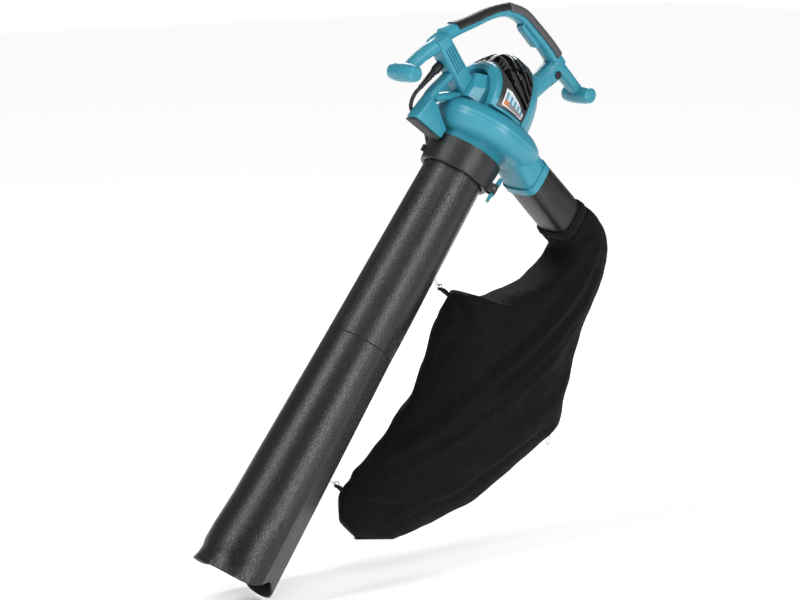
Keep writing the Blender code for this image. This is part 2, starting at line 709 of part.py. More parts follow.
def on_dome(x, angle, lift):
    w, h = dome_at(x)
    y = (w + lift) * math.copysign(abs(math.cos(angle)) ** (2.0 / DOME_POWER), math.cos(angle))
    z = HOUSING_BASE + (h + lift - HOUSING_BASE) * math.sin(angle) ** (2.0 / DOME_POWER)
    return Vector((x, y, z))


def follow(path):
    """The same path with points close enough together to keep to the curve of the dome."""
    points = []
    for (x0, angle0), (x1, angle1) in zip(path, path[1:]):
        steps = math.ceil(abs(angle1 - angle0) / SLOT_TURN)
        for k in range(steps):
            share = k / steps
            points.append((x0 + (x1 - x0) * share, angle0 + (angle1 - angle0) * share))
    return points + [path[-1]]


def slot(route, mirrored):
    """Cutter for one blind cooling slot along a path over the dome."""
    path = follow(route)
    rings = []
    for i, (x, angle) in enumerate(path):
        x0, angle0 = path[max(i - 1, 0)]
        x1, angle1 = path[min(i + 1, len(path) - 1)]
        along = Vector((x1 - x0, (angle1 - angle0) * DOME_SWEEP)).normalized()
        dx = -along.y * SLOT_WIDTH / 2.0
        turn = along.x * SLOT_WIDTH / 2.0 / DOME_SWEEP
        ring = []
        for side, lift in ((-1.0, SLOT_FLOOR), (1.0, SLOT_FLOOR), (1.0, 9.0), (-1.0, 9.0)):
            at = angle + side * turn
            ring.append(on_dome(x + side * dx, math.pi - at if mirrored else at, lift))
        rings.append(ring)
    return loft(rings)


cover = saddle((-49.2, -42.0, -33.0, -15.0, 9.2), COVER_LIFT, COVER_FACE, lambda x: (0.05, math.pi - 0.05))
for path in SLOTS:
    cover = cut(cover, slot(path, False), slot(path, True))
label_pocket = saddle((-43.0, -33.0, -15.0, 4.0), COVER_FACE - 1.2, 8.0,
                      lambda x: (math.pi - label_top(x) - 0.005, math.pi - label_low(x) + 0.005), 8)
cover = cut(cover, label_pocket)
finish("vent_cover", cover, BLACK)
label = saddle((-42.6, -33.0, -15.0, 3.6), COVER_FACE - 0.9, COVER_FACE - 0.1,
               lambda x: (math.pi - label_top(x), math.pi - label_low(x)), 8)
finish("rating_label", label, LABEL)

# ---------------------------------------------------------------- motor and fan
armature = lathe([(0.0, 55.0), (4.0, 55.0), (4.0, 122.0), (20.0, 122.0), (20.0, 172.0), (8.0, 174.0),
                  (13.0, 180.0), (13.0, 194.0), (4.0, 194.0), (4.0, 207.0), (0.0, 207.0)], 28)
finish("motor_armature", armature, COPPER, centre=(0.0, 0.0, 120.0))
finish("motor_stator", lathe([(21.0, 120.0), (36.0, 120.0), (36.0, 174.0), (21.0, 174.0)], 32), STEEL)
finish("bearing_lower", lathe([(4.3, 110.0), (10.7, 110.0), (10.7, 117.0), (4.3, 117.0)], 24), STEEL)
finish("bearing_upper", lathe([(4.3, 198.0), (10.7, 198.0), (10.7, 205.0), (4.3, 205.0)], 24), STEEL)
finish("motor_plate_lower", lathe([(11.0, 109.5), (36.0, 109.5), (36.0, 117.5), (11.0, 117.5)], 32), GREY)
finish("motor_bridge_upper", lathe([(11.0, 197.5), (36.0, 197.5), (36.0, 178.0), (31.0, 178.0), (31.0, 194.0),
                                    (11.0, 194.5)], 32), BLACK)
for name, side in (("brush_a", 1.0), ("brush_b", -1.0)):
    low, high = sorted((side * 13.4, side * 30.6))
    finish(name, block((-3.5, low, 183.5), (3.5, high, 191.0)), GREY, smooth=False)

wheel = lathe([(4.3, 61.0), (13.0, 61.0), (13.0, 90.0), (48.0, 92.0), (48.0, 94.5), (13.0, 94.5), (11.0, 102.0),
               (4.3, 102.0)], 32)
blades = bmesh.new()
for k in range(10):
    ring_low = []
    path = [(11.5, 0.0), (23.0, 5.0), (35.0, 6.5), (47.5, 3.0)]
    outline = [Vector((x, y + 1.1, 0.0)) for x, y in path] + [Vector((x, y - 1.1, 0.0)) for x, y in path[::-1]]
    turn = Matrix.Rotation(2.0 * math.pi * k / 10, 4, "Z")
    rows = []
    for z in (67.0, 93.0):
        rows.append([blades.verts.new(turn @ (p + Vector((0.0, 0.0, z)))) for p in outline])
    blades.faces.new(rows[0])
    blades.faces.new(rows[1])
    for i in range(8):
        j = (i + 1) % 8
        blades.faces.new((rows[0][i], rows[0][j], rows[1][j], rows[1][i]))
bmesh.ops.recalc_face_normals(blades, faces=blades.faces)
finish("fan_impeller", union(wheel, blades), BLACK, centre=(0.0, 0.0, 80.0))
finish("fan_nut", lathe([(5.0, 56.0), (8.0, 56.0), (8.0, 60.6), (5.0, 60.6)], 6), STEEL, smooth=False,
       centre=(0.0, 0.0, 58.0))


# ---------------------------------------------------------------- grips and controls
finish("grip_front", grip_piece(GRIP_FRONT_ROUTE, GRIP_FRONT_SIZES, 2.0, 178.0, 0.0, 2.8), GRIP)
finish("grip_rear", grip_piece(GRIP_REAR_ROUTE, GRIP_REAR_SIZES, -4.0, 184.0, 0.0, 2.4), GRIP)
TRIGGER_PIVOT = (-24.0, 0.0, 286.0)
trigger_outline = [(-28.0, 289.0), (-29.0, 282.0), (-20.0, 277.5), (0.0, 274.0), (20.0, 270.5), (24.5, 272.5),
                   (25.0, 278.0), (20.0, 284.0), (-10.0, 289.5)]
finish("trigger", rounded(prism(trigger_outline, -8.8, 8.8), 1.2, 2), TEAL, centre=TRIGGER_PIVOT)
DIAL_CENTRE = (DIAL_AXIS[0], -14.0, DIAL_AXIS[2])
finish("speed_dial", lathe([(0.0, -19.0), (DIAL_RADIUS - 1.0, -19.0), (DIAL_RADIUS, -18.0), (DIAL_RADIUS, -10.4),
                            (0.0, -10.4)], 24, DIAL_AXIS, "y"), BLACK, centre=DIAL_CENTRE)
finish("foot_pad", block((-133.0, -13.0, 26.5), (-72.0, 13.0, 30.5)), BLACK, smooth=False)

# ---------------------------------------------------------------- outlet and bag
ADAPTER_WALL = 2.6
PLUG_SLIM = -2.2
SLEEVE_GROW = 1.5
# adapter stations: x, centre z, half height, growth over the duct section
ADAPTER = [(101.0, 68.0, 28.2, PLUG_SLIM), (SOCKET_END + 1.0, 65.4, 28.5, PLUG_SLIM),
           (SOCKET_END + 4.0, 64.9, 28.5, SLEEVE_GROW), (170.0, 56.5, 30.0, SLEEVE_GROW),
           (200.0, 52.5, 31.0, SLEEVE_GROW), (222.0, 49.5, 31.5, SLEEVE_GROW), (246.0, 46.0, 30.0, SLEEVE_GROW)]


def adapter_rings(inset):
    rings = []
    for x, z, half, grow in ADAPTER:
        size = grow - inset
        rings.append([(x, DUCT_Y + u, z + v) for u, v in oval(DUCT_HALF_WIDTH + size, half + size, 24, 4.0)])
    return rings


def rail(y, start, end, height):
    """Raised rib along the top of the adapter."""
    ring = []
    for x, top in ((start, 94.0 - 0.145 * (start - 120.0)), (end, 94.0 - 0.145 * (end - 120.0))):
        ring.append([(x, y - 1.6, top - 4.0), (x, y + 1.6, top - 4.0), (x, y + 1.6, top + height),
                     (x, y - 1.6, top + height)])
    return loft(ring)


adapter = loft(adapter_rings(0.0) + adapter_rings(ADAPTER_WALL)[::-1], wrap=True)
adapter = union(adapter, rail(DUCT_Y - 22.0, 120.0, 205.0, 4.0), rail(DUCT_Y - 10.0, 120.0, 205.0, 4.0),
                rail(DUCT_Y + 20.0, 118.0, 168.0, 8.0), rail(DUCT_Y + 28.0, 118.0, 168.0, 8.0))
finish("outlet_adapter", adapter, GREY)

cuff_rings = []
for x, z, low, high in ((212.0, 50.9, 2.0, 5.0), (228.0, 48.7, 2.0, 5.0)):
    cuff_rings.append((x, z, low, high))
outer_rings = [[(x, DUCT_Y + u, z + v) for u, v in oval(DUCT_HALF_WIDTH + high, 31.3 + high, 24, 4.0)]
               for x, z, low, high in cuff_rings]
inner_rings = [[(x, DUCT_Y + u, z + v) for u, v in oval(DUCT_HALF_WIDTH + low, 31.3 + low, 24, 4.0)]
               for x, z, low, high in cuff_rings]
finish("bag_cuff", loft(outer_rings + inner_rings[::-1], wrap=True), FABRIC)

# bag stations: inner point x, z; outer point x, z; sideways centre; half thickness; squareness
BAG_STATIONS = [
    (230.5, 11.0, 231.5, 86.5, -43.0, 44.6, 4.2),
    (246.0, 8.0, 247.5, 87.0, -43.0, 45.5, 4.0),
    (254.0, -2.0, 272.0, 85.0, -43.0, 47.0, 3.6),
    (250.0, -32.0, 308.0, 71.0, -42.0, 49.0, 3.0),
    (230.0, -72.0, 340.0, 40.0, -39.0, 53.0, 2.7),
    (200.0, -110.0, 360.0, -10.0, -35.0, 57.0, 2.5),
    (160.0, -148.0, 374.0, -68.0, -30.0, 59.0, 2.4),
    (106.0, -166.0, 394.0, -122.0, -24.0, 60.0, 2.3),
    (104.0, -202.0, 422.0, -186.0, -20.0, 60.0, 2.2),
    (115.0, -246.0, 451.0, -246.0, -16.0, 58.0, 2.2),
    (132.0, -300.0, 434.0, -302.0, -13.0, 54.0, 2.2),
    (142.0, -368.0, 404.0, -374.0, -10.0, 49.0, 2.2),
    (135.0, -448.0, 364.0, -448.0, -8.0, 42.0, 2.2),
    (119.0, -512.0, 310.0, -516.0, -7.0, 34.0, 2.2),
    (111.0, -562.0, 252.0, -577.0, -6.0, 25.0, 2.2),
    (134.0, -598.0, 182.0, -611.0, -5.0, 11.0, 2.2),
]


bag_rings = []
for ax, az, bx, bz, side_y, half, square in BAG_STATIONS:
    across = Vector((bx - ax, bz - az)) / 2.0
    ring = []
    for u, v in oval(half, 1.0, 28, square):
        ring.append(((ax + bx) / 2.0 + across.x * v, side_y + u, (az + bz) / 2.0 + across.y * v))
    bag_rings.append(ring)
# the first three stations are the neck, an open sleeve round the adapter; the body of the bag starts behind it
NECK_STATIONS = 3
neck_way = duct([(215.0, 50.5, 31.5), (290.0, 39.4, 31.5)], 2.2, 24)
finish("bag_neck", cut(loft(bag_rings[:NECK_STATIONS]), neck_way), FABRIC)
low_x, low_z, high_x, high_z = BAG_STATIONS[NECK_STATIONS - 1][:4]
seam = Vector((high_z - low_z, low_x - high_x)).normalized() * GAP
first_ring = [(x + seam.x, y, z + seam.y) for x, y, z in bag_rings[NECK_STATIONS - 1]]
finish("collection_bag", loft([first_ring] + bag_rings[NECK_STATIONS:]), FABRIC)

for number, z, ring_x, ring_z in (("1", EYELET_1, 89.0, -172.0), ("2", EYELET_2, 96.0, -553.0)):
    start = Vector((tube_radius(math.pi, z) + 4.4, 0.0, z))
    end = Vector((ring_x, 0.0, ring_z))
    along = (end - start).normalized()
    side = Vector((0.0, 1.0, 0.0))
    link = stadium(start + along * 2.9, end - along * 2.4, 3.4, side)
    finish("bag_hook_" + number, wire(link, 1.0, 8, closed=True), STEEL,
           centre=tuple(start + along * 4.5))
    points = []
    for k in range(14):
        angle = 2.0 * math.pi * k / 14
        points.append(end + Vector((5.2 * math.cos(angle), 0.0, 5.2 * math.sin(angle))))
    finish("bag_ring_" + number, wire(points, 1.1, 8, closed=True), STEEL)

ZIP_GAP = 0.6
ZIP_HALF_WIDTH = 4.0
ZIP_STATIONS = BAG_STATIONS[9:]
zip_rings = []
for i, (_, _, x, z, side_y, _, _) in enumerate(ZIP_STATIONS):
    before = ZIP_STATIONS[max(i - 1, 0)]
    after = ZIP_STATIONS[min(i + 1, len(ZIP_STATIONS) - 1)]
    tangent = Vector((after[2] - before[2], after[3] - before[3])).normalized()
    out = Vector((-tangent.y, tangent.x))
    ring = []
    for lift, y in ((ZIP_GAP, -1.0), (ZIP_GAP, 1.0), (ZIP_GAP + 2.0, 1.0), (ZIP_GAP + 2.0, -1.0)):
        ring.append((x + out.x * lift, side_y + y * ZIP_HALF_WIDTH, z + out.y * lift))
    zip_rings.append(ring)
finish("bag_zip", loft(zip_rings), BLACK)
SLIDER_CENTRE = Vector((450.0, -15.2, -269.8))
SLIDER_SIZE = Vector((5.0, 7.0, 13.0))
slider = rounded(block(-SLIDER_SIZE / 2.0, SLIDER_SIZE / 2.0), 1.0, 1)
slider_turn = Matrix.Translation(SLIDER_CENTRE) @ Matrix.Rotation(math.radians(17.0), 4, "Y")
finish("zip_slider", turned(slider, slider_turn), STEEL)
pull_centre = Vector((453.6, SLIDER_CENTRE.y, -272.0))
points = stadium(pull_centre + Vector((0.8, 0.0, 0.8)), pull_centre + Vector((10.0, 0.0, -13.4)), 3.4,
                 Vector((0.0, 1.0, 0.0)))
finish("zip_pull", wire(points, 1.0, 8, closed=True), STEEL, centre=tuple(pull_centre))

# ---------------------------------------------------------------- cable
gland = lathe([(0.0, -8.5), (5.5, -7.0), (8.0, -2.0), (8.0, 7.0), (6.5, 11.0), (0.0, 11.0)], 20)
finish("cable_gland", turned(gland, GLAND_MATRIX), BLACK)
ribs = [(0.0, 11.3), (6.2, 11.3)]
for k in range(6):
    z = 14.0 + 5.2 * k
    radius = 6.2 - 0.32 * k
    ribs += [(radius, z), (radius - 1.2, z + 0.7), (radius - 1.2, z + 2.2), (radius - 0.2, z + 2.7)]
ribs += [(4.1, 47.0), (0.0, 47.0)]
finish("strain_relief", turned(lathe(ribs, 14), GLAND_MATRIX), BLACK)

CORD_START = GLAND_CENTRE + GLAND_AXIS * 47.6
CORD_ROUTE = [tuple(CORD_START), tuple(CORD_START + GLAND_AXIS * 6.0), tuple(CORD_START + GLAND_AXIS * 12.0),
              (-137.0, 18.5, 62.0), (-130.0, 21.5, 51.5), (-117.0, 24.5, 47.0), (-98.0, 30.0, 48.0),
              (-76.0, 42.0, 50.0), (-54.0, 58.0, 48.0), (-32.0, 71.0, 41.0), (-10.0, 80.0, 27.0),
              (6.0, 85.0, 6.0), (20.0, 87.0, -17.0), (32.0, 87.0, -40.0)]
CORD_RADIUS = 3.4
cord_path = smooth_path(CORD_ROUTE, 2)
curve = bpy.data.curves.new("power_cord", "CURVE")
curve.dimensions = "3D"
curve.bevel_depth = CORD_RADIUS * MM
curve.bevel_resolution = 2
curve.use_fill_caps = True
spline = curve.splines.new("POLY")
spline.points.add(len(cord_path) - 1)
for point, place_at in zip(spline.points, cord_path):
    point.co = (*world(place_at), 1.0)
cord = bpy.data.objects.new("power_cord", curve)
bpy.context.scene.collection.objects.link(cord)
curve.materials.append(material("power_cord_black", (0.012, 0.012, 0.013), 0.45))

plug_axis = (Vector(CORD_ROUTE[-1]) - Vector(CORD_ROUTE[-2])).normalized()
plug_turn = Vector((0.0, 0.0, 1.0)).rotation_difference(plug_axis).to_matrix().to_4x4()
plug_start = Vector(CORD_ROUTE[-1]) + plug_axis * 0.3
plug_matrix = Matrix.Translation(plug_start) @ plug_turn
plug = lathe([(0.0, 0.0), (5.0, 0.0), (7.0, 14.0), (17.0, 22.0), (18.0, 26.0), (18.0, 42.0), (0.0, 42.0)], 20)
for side in (-1.0, 1.0):
    prong = lathe([(0.0, 41.0), (2.3, 41.0), (2.3, 59.0), (1.4, 60.5), (0.0, 60.5)], 12, (0.0, side * 9.5, 0.0))
    plug = union(plug, prong)
finish("mains_plug", turned(plug, plug_matrix), BLACK)
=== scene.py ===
"""Looks for the garden leaf blower: materials, sewn bag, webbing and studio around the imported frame."""
import json
import math

import bmesh
import bpy
from mathutils import Matrix, Vector, noise

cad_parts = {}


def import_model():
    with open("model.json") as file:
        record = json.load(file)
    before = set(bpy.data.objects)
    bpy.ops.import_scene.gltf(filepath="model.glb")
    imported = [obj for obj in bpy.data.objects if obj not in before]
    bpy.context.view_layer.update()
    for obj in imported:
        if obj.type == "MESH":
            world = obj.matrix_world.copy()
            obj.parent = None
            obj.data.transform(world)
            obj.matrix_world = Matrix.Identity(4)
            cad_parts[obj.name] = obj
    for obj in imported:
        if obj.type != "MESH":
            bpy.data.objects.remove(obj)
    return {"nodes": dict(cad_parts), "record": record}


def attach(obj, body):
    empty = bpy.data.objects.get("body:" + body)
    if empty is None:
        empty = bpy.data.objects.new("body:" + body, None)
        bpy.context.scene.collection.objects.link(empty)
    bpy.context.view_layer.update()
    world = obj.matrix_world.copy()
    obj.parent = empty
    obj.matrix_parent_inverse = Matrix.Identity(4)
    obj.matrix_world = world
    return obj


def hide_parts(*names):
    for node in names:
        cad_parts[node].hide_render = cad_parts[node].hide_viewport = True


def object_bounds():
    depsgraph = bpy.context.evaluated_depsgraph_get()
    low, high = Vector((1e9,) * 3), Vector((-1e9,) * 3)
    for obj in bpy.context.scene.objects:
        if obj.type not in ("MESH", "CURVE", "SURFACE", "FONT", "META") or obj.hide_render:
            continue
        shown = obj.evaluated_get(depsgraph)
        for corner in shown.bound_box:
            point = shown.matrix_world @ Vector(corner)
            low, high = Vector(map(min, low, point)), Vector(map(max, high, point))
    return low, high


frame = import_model()
cad_low, cad_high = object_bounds()
NODES = frame["nodes"]
BODY_OF = {node: body for body, nodes in frame["record"]["behaviour"]["bodies"].items() for node in nodes}

# machine frame: millimetres, z up along the suction tube, x towards the bag, y away from the camera
TILT = math.radians(36.0)
GRIP_CENTRE = Vector((-97.0, 0.0, 262.0))
TO_WORLD = Matrix.Rotation(TILT, 4, "Y") @ Matrix.Translation(-GRIP_CENTRE)
AXIS_X = tuple(TO_WORLD.to_3x3() @ Vector((1.0, 0.0, 0.0)))
AXIS_Z = tuple(TO_WORLD.to_3x3() @ Vector((0.0, 0.0, 1.0)))
TUBE_JOINT = -334.0
DUCT_Y = -43.0


def world(point):
    """Machine-frame millimetres to row-frame metres."""
    return (TO_WORLD @ Vector(point)) * 0.001


def placed(name, data):
    """A new object in the scene that holds the given mesh, curve, light or camera."""
    item = bpy.data.objects.new(name, data)
    bpy.context.scene.collection.objects.link(item)
    return item


# ------------------------------------------------------------------ materials
class Nodes:
    """Small helper for building one Principled material."""

    def __init__(self, name, colour, roughness, metallic=0.0):
        self.mat = bpy.data.materials.new(name)
        self.mat.use_nodes = True
        self.tree = self.mat.node_tree
        self.shader = self.tree.nodes["Principled BSDF"]
        self.shader.inputs["Base Color"].default_value = (*colour, 1.0)
        self.shader.inputs["Roughness"].default_value = roughness
        self.shader.inputs["Metallic"].default_value = metallic
        self.coord = self.tree.nodes.new("ShaderNodeTexCoord")
        self.height = None

    def link(self, out, into):
        self.tree.links.new(out, into)

    def noise(self, scale, detail=3.0, roughness=0.55, stretch=None):
        node = self.tree.nodes.new("ShaderNodeTexNoise")
        node.inputs["Scale"].default_value = scale
        node.inputs["Detail"].default_value = detail
        node.inputs["Roughness"].default_value = roughness
        source = self.coord.outputs["Object"]
        if stretch:
            mapping = self.tree.nodes.new("ShaderNodeMapping")
            mapping.inputs["Scale"].default_value = stretch
            self.link(source, mapping.inputs["Vector"])
            source = mapping.outputs["Vector"]
        self.link(source, node.inputs["Vector"])
        return node.outputs["Fac"]

    def along(self, direction):
        """Distance along a fixed direction, in metres."""
        node = self.tree.nodes.new("ShaderNodeVectorMath")
        node.operation = "DOT_PRODUCT"
        self.link(self.coord.outputs["Object"], node.inputs[0])
        node.inputs[1].default_value = direction
        return node.outputs["Value"]

    def math(self, operation, a, b=0.0):
        node = self.tree.nodes.new("ShaderNodeMath")
        node.operation = operation
        for value, socket in ((a, node.inputs[0]), (b, node.inputs[1])):
            if isinstance(value, (int, float)):
                socket.default_value = value
            else:
                self.link(value, socket)
        return node.outputs["Value"]

    def remap(self, value, low, high, out_low, out_high):
        node = self.tree.nodes.new("ShaderNodeMapRange")
        self.link(value, node.inputs["Value"])
        for key, number in (("From Min", low), ("From Max", high), ("To Min", out_low), ("To Max", out_high)):
            node.inputs[key].default_value = number
        return node.outputs["Result"]

    def mix(self, factor, first, second):
        """Blend of two colours, each a plain tuple or another node's output."""
        node = self.tree.nodes.new("ShaderNodeMix")
        node.data_type = "RGBA"
        self.link(factor, node.inputs["Factor"])
        for value, key in ((first, 6), (second, 7)):
            if isinstance(value, tuple):
                node.inputs[key].default_value = (*value, 1.0)
            else:
                self.link(value, node.inputs[key])
        return node.outputs[2]

    def colour(self, output):
        self.link(output, self.shader.inputs["Base Color"])

    def roughness(self, output):
        self.link(output, self.shader.inputs["Roughness"])

    def bump(self, output, distance, strength=1.0):
        """Relief added on top of any earlier relief."""
        node = self.tree.nodes.new("ShaderNodeBump")
        node.inputs["Strength"].default_value = strength
        node.inputs["Distance"].default_value = distance
        self.link(output, node.inputs["Height"])
        if self.height:
            self.link(self.height, node.inputs["Normal"])
        self.height = node.outputs["Normal"]
        self.link(self.height, self.shader.inputs["Normal"])


def shade(colour, factor):
    return tuple(min(channel * factor, 1.0) for channel in colour)


def plastic(name, colour, roughness, grain=900.0, depth=0.00012, vary=0.10):
    """Moulded plastic or rubber: fine spark grain, slow tone change, rubbed and dusty patches."""
    m = Nodes(name, colour, roughness)
    broad = m.noise(9.0, 2.0)
    fine = m.noise(grain, 2.0, 0.6)
    tone = m.mix(m.remap(broad, 0.3, 0.7, 0.0, 1.0), shade(colour, 1.0 - vary), shade(colour, 1.0 + vary))
    speck = m.remap(fine, 0.62, 0.78, 0.0, 0.22)
    m.colour(m.mix(speck, tone, tuple(min(c * 1.6 + 0.02, 1.0) for c in colour)))
    m.roughness(m.math("ADD", m.remap(broad, 0.3, 0.7, roughness - 0.05, roughness + 0.07),
                       m.remap(fine, 0.3, 0.7, -0.04, 0.04)))
    m.bump(fine, depth)
    return m


ETCH_SCALE = 620.0
ETCH_DEPTH = 0.00050


def etched_tone(m, colour, grain, spread, dark, light):
    """Slow tone change, then the dark pits and light peaks of the grain, as (share, brightness)."""
    broad = m.noise(7.0, 2.0)
    tone = m.mix(m.remap(broad, 0.3, 0.7, 0.0, 1.0), shade(colour, spread[0]), shade(colour, spread[1]))
    tone = m.mix(m.remap(grain, 0.35, 0.5, dark[0], 0.0), tone, shade(colour, dark[1]))
    return m.mix(m.remap(grain, 0.55, 0.72, 0.0, light[0]), tone, shade(colour, light[1]))


def etched_roughness(m, grain, roughness):
    broad = m.noise(7.0, 2.0)
    return m.math("ADD", m.remap(grain, 0.3, 0.7, roughness + 0.08, roughness - 0.06),
                  m.remap(broad, 0.3, 0.7, -0.02, 0.03))


def speckled(name, colour, roughness):
    """Matt moulding with the fine light-and-dark grain of an etched mould."""
    m = Nodes(name, colour, roughness)
    grain = m.noise(ETCH_SCALE, 1.0, 0.5)
    fine = m.noise(1500.0, 1.0, 0.5)
    m.colour(etched_tone(m, colour, grain, (0.92, 1.1), (0.55, 0.45), (0.8, 3.4)))
    m.roughness(etched_roughness(m, grain, roughness))
    m.bump(grain, ETCH_DEPTH, 0.9)
    m.bump(fine, 0.00010, 0.6)
    return m


def tube_look(name, colour, roughness):
    """The etched grain, with painted shade along the joint line between the two tube halves."""
    m = Nodes(name, colour, roughness)
    grain = m.noise(ETCH_SCALE, 1.0, 0.5)
    joint = world((0.0, 0.0, TUBE_JOINT)).dot(Vector(AXIS_Z))
    off = m.math("ABSOLUTE", m.math("SUBTRACT", m.along(AXIS_Z), joint))
    # painted shade: within about a millimetre of the joint the colour goes near-black and the surface
    # rougher, standing in for the shadow in the joint gap
    clear_of_joint_shade = m.remap(off, 0.0009, 0.0013, 0.0, 1.0)
    tone = etched_tone(m, colour, grain, (0.90, 1.12), (0.65, 0.35), (0.9, 4.6))
    m.colour(m.mix(clear_of_joint_shade, (0.0008, 0.0008, 0.0008), tone))
    m.roughness(m.math("ADD", etched_roughness(m, grain, roughness), m.remap(clear_of_joint_shade, 0.0, 1.0, 0.5, 0.0)))
    m.bump(grain, ETCH_DEPTH, 0.9)
    return m


def metal(name, colour, roughness, scratch=0.05):
    """Plated or machined metal with fine drawn scratches and cloudy patches."""
    m = Nodes(name, colour, roughness, 1.0)
    lines = m.noise(160.0, 4.0, 0.7, (1.0, 8.0, 1.0))
    cloud = m.noise(60.0, 2.0)
    m.roughness(m.math("ADD", m.remap(lines, 0.35, 0.65, roughness, roughness + scratch),
                       m.remap(cloud, 0.3, 0.7, 0.0, 0.08)))
    m.colour(m.mix(m.remap(cloud, 0.35, 0.65, 0.0, 1.0), shade(colour, 0.86), colour))
    m.bump(lines, 0.00003)
    return m


WARP_DIRECTION = (0.588, 0.0, 0.809)
WEFT_DIRECTION = (0.809, 0.25, -0.588)


def woven(name, colour, pitch, sheen):
    """Plain weave from two crossed ripple directions, with slub and dust variation."""
    m = Nodes(name, colour, 0.88)
    warp = m.math("SINE", m.math("MULTIPLY", m.along(WARP_DIRECTION), 2.0 * math.pi / pitch))
    weft = m.math("SINE", m.math("MULTIPLY", m.along(WEFT_DIRECTION), 2.0 * math.pi / pitch))
    weave = m.math("MULTIPLY", warp, weft)
    slub = m.noise(140.0, 3.0)
    broad = m.noise(11.0, 3.0)
    base = m.mix(m.remap(weave, -1.0, 1.0, 0.0, 1.0), shade(colour, 0.55), shade(colour, 1.5))
    m.colour(m.mix(m.remap(broad, 0.45, 0.75, 0.0, 0.35), base, shade(colour, 2.2)))
    m.roughness(m.remap(slub, 0.3, 0.7, 0.78, 0.95))
    m.bump(slub, 0.0006, 0.6)
    m.bump(weave, 0.0002, 0.7)
    m.shader.inputs["Specular IOR Level"].default_value = 0.16
    m.shader.inputs["Sheen Weight"].default_value = sheen
    m.shader.inputs["Sheen Roughness"].default_value = 0.5
    return m


def slot_shadow():
    """Painted shade: near-black on the floor of the vent slots."""
    m = plastic("slot_shadow", (0.0015, 0.0015, 0.0015), 0.9, 1000.0, 0.00004, 0.2)
    m.shader.inputs["Specular IOR Level"].default_value = 0.05
    return m


GRIP_RIB_PITCH = 0.0048
PAD_GROOVE_PITCH = 0.0052


def ribbed_grip():
    """Front grip cover, ribbed across its length."""
    m = plastic("ribbed_grip", (0.014, 0.014, 0.015), 0.34, 800.0, 0.00012, 0.2)
    wave = m.math("MULTIPLY", m.along(AXIS_X), 2.0 * math.pi / GRIP_RIB_PITCH)
    ribs = m.math("POWER", m.math("ABSOLUTE", m.math("SINE", wave)), 0.35)
    m.bump(ribs, 0.0005, 0.5)
    return m


def rear_grip():
    """Rear grip cover: smooth on top, with a paler grained panel on each flank."""
    m = plastic("rear_grip", (0.014, 0.014, 0.015), 0.42, 800.0, 0.00012, 0.2)
    facing = m.tree.nodes.new("ShaderNodeNewGeometry")
    split = m.tree.nodes.new("ShaderNodeSeparateXYZ")
    m.link(facing.outputs["Normal"], split.inputs[0])
    flank = m.remap(m.math("ABSOLUTE", split.outputs["Y"]), 0.55, 0.62, 0.0, 1.0)
    flank_tone = m.mix(m.noise(600.0), (0.060, 0.060, 0.064), (0.105, 0.105, 0.11))
    m.colour(m.mix(flank, (0.012, 0.012, 0.013), flank_tone))
    return m


def foot_rubber():
    """Foot pad, grooved from front to rear."""
    m = plastic("foot_rubber", (0.030, 0.031, 0.033), 0.55, 800.0, 0.0001, 0.2)
    grooves = m.math("SINE", m.math("MULTIPLY", m.along((0.0, 1.0, 0.0)), 2.0 * math.pi / PAD_GROOVE_PITCH))
    m.bump(grooves, 0.0008, 0.9)
    return m


# the printed panel in metres: its edges rise with the distance run back from its front end
LABEL_FRONT = world((-45.0, 0.0, 0.0))
LABEL_TOP_SLOPE = -0.410
LABEL_TOP_START = 0.1530
LABEL_LOW_SLOPE = -0.045
LABEL_LOW_START = 0.1230
LABEL_RUN_START = 0.0048
LABEL_RUN_END = 0.0462
LABEL_PATCH_END = 0.013
LABEL_BORDER = (0.62, 0.63, 0.64)


def label_look():
    """Generic printed panel: pale border, plain bars and one orange patch, no lettering."""
    m = Nodes("generic_label", (0.8, 0.8, 0.8), 0.3)
    run = m.math("SUBTRACT", m.along(AXIS_X), LABEL_FRONT.dot(Vector(AXIS_X)))
    rise = m.math("SUBTRACT", m.along(AXIS_Z), LABEL_FRONT.dot(Vector(AXIS_Z)))
    top = m.math("ADD", m.math("MULTIPLY", run, LABEL_TOP_SLOPE), LABEL_TOP_START)
    low = m.math("ADD", m.math("MULTIPLY", run, LABEL_LOW_SLOPE), LABEL_LOW_START)
    share = m.math("DIVIDE", m.math("SUBTRACT", rise, low), m.math("SUBTRACT", top, low))
    inside = m.math("LESS_THAN", m.math("ABSOLUTE", m.math("SUBTRACT", share, 0.5)), 0.42)
    inside = m.math("MULTIPLY", inside, m.math("GREATER_THAN", run, LABEL_RUN_START))
    inside = m.math("MULTIPLY", inside, m.math("LESS_THAN", run, LABEL_RUN_END))
    upper = m.math("GREATER_THAN", share, 0.42)
    blocks = m.math("GREATER_THAN", m.math("SINE", m.math("MULTIPLY", run, 700.0)), -0.2)
    pale = m.mix(blocks, (0.10, 0.22, 0.28), (0.36, 0.55, 0.64))
    bars = m.math("GREATER_THAN", m.math("SINE", m.math("MULTIPLY", share, 46.0)), 0.1)
    dark = m.mix(bars, (0.10, 0.085, 0.08), (0.34, 0.33, 0.33))
    patch = m.math("LESS_THAN", run, LABEL_PATCH_END)
    dark = m.mix(patch, dark, (0.50, 0.15, 0.04))
    m.colour(m.mix(inside, LABEL_BORDER, m.mix(upper, dark, pale)))
    m.roughness(m.remap(m.noise(300.0), 0.3, 0.7, 0.22, 0.36))
    return m


